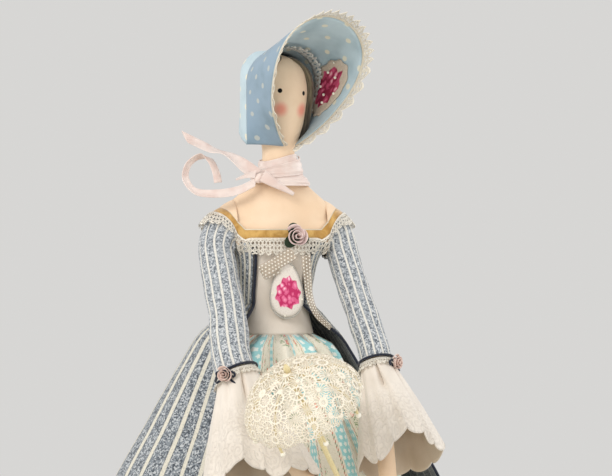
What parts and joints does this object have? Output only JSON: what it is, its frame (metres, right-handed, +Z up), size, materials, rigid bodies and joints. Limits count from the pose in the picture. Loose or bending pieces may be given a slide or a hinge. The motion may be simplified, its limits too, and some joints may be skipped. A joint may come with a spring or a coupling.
{
  "type": "rag doll",
  "caption": "Cloth rag doll in a striped open coat over a gathered petticoat, with flared cuffs, a deep-brimmed bonnet and a lace parasol; arms and legs swing.",
  "frame": {"origin": "centre of the bounding box, on the floor under the hem", "axes": "+X to the doll's left, -Y the way the body faces, +Z up"},
  "size_m": [0.3569, 0.3396, 0.5046],
  "materials": {
    "parasol_wood": "pale wood, satin",
    "parasol_lace": "stiff ivory lace",
    "body_cloth": "plain woven cotton, matt",
    "hair_wool": "brown wool strands, matt",
    "bonnet_cotton": "light blue cotton with white dots, matt",
    "lace": "ivory cotton lace",
    "flower_cloth": "ivory cloth with a pink flower",
    "bodice_cotton": "plain cream-taupe cotton, matt",
    "coat_flannel": "blue-grey melange flannel with cream stripes, matt",
    "petticoat_cotton": "aqua and cream striped cotton with small sprigs, matt",
    "navy_cord": "navy cord",
    "velvet": "ochre velvet band with a cream edge",
    "cuff_cloth": "cream cloth with a raised vine pattern",
    "rose_cloth": "dusky rose ribbon, soft sheen",
    "bead_rim": "small silver beads",
    "leaf_cloth": "dark green cloth",
    "organza": "taupe organza with cream dots",
    "silk_ribbon": "pale pink thin silk"
  },
  "bodies": {
    "doll": {"torso": "body_cloth", "head": "body_cloth", "hair": "hair_wool", "bonnet_crown": "bonnet_cotton", "bonnet_brim": "bonnet_cotton", "bonnet_piping": "lace", "bonnet_lace": "lace", "bonnet_frill": "lace", "bonnet_patch": "flower_cloth", "bodice": "bodice_cotton", "coat_bodice": "coat_flannel", "coat_skirt": "coat_flannel", "petticoat": "petticoat_cotton", "coat_piping_right": "navy_cord", "coat_piping_left": "navy_cord", "neckline_band_front": "velvet", "neckline_lace_front": "lace", "neckline_band_back": "velvet", "neckline_lace_back": "lace", "neckline_rose": "rose_cloth", "medallion": "flower_cloth", "medallion_rim": "bead_rim", "rose_leaves": "leaf_cloth", "organza_loop": "organza", "organza_tail": "organza", "neck_ribbon_band": "silk_ribbon", "neck_ribbon_knot": "silk_ribbon", "neck_ribbon_tail": "silk_ribbon", "neck_ribbon_loop": "silk_ribbon", "neck_ribbon_front": "silk_ribbon"},
    "right_arm": {"sleeve_right": "coat_flannel", "arm_right": "body_cloth", "cuff_right": "cuff_cloth", "cuff_cord_right": "navy_cord", "cuff_lace_right": "lace", "cuff_rose_right": "rose_cloth", "shoulder_band_right": "velvet", "shoulder_lace_right": "lace"},
    "left_arm": {"sleeve_left": "coat_flannel", "arm_left": "body_cloth", "cuff_left": "cuff_cloth", "cuff_cord_left": "navy_cord", "cuff_lace_left": "lace", "cuff_rose_left": "rose_cloth", "shoulder_band_left": "velvet", "shoulder_lace_left": "lace"},
    "parasol": {"parasol_stick": "parasol_wood", "parasol_canopy": "parasol_lace", "parasol_rib_1": "parasol_wood", "parasol_rib_2": "parasol_wood", "parasol_rib_3": "parasol_wood", "parasol_rib_4": "parasol_wood", "parasol_rib_5": "parasol_wood", "parasol_rib_6": "parasol_wood", "parasol_rib_7": "parasol_wood", "parasol_rib_8": "parasol_wood"},
    "right_leg": {"leg_right": "body_cloth"},
    "left_leg": {"leg_left": "body_cloth"}
  },
  "joints": [
    {"name": "shoulder_right", "type": "hinge", "parent": "doll", "child": "right_arm", "pos_m": [-0.0306, 0, 0.366], "axis": [-1, 0, 0], "range_deg": [0, 60]},
    {"name": "shoulder_left", "type": "hinge", "parent": "doll", "child": "left_arm", "pos_m": [0.0306, 0, 0.366], "axis": [-1, 0, 0], "range_deg": [0, 60]},
    {"name": "parasol_spin", "type": "hinge", "parent": "right_arm", "child": "parasol", "pos_m": [-0.0087, -0.124, 0.2626], "axis": [-0.4511, -0.4151, 0.7901], "continuous": true},
    {"name": "hip_right", "type": "hinge", "parent": "doll", "child": "right_leg", "pos_m": [-0.013, 0, 0.263], "axis": [-1, 0, 0], "range_deg": [-20, 20]},
    {"name": "hip_left", "type": "hinge", "parent": "doll", "child": "left_leg", "pos_m": [0.013, 0, 0.263], "axis": [-1, 0, 0], "range_deg": [-20, 20]}
  ]
}
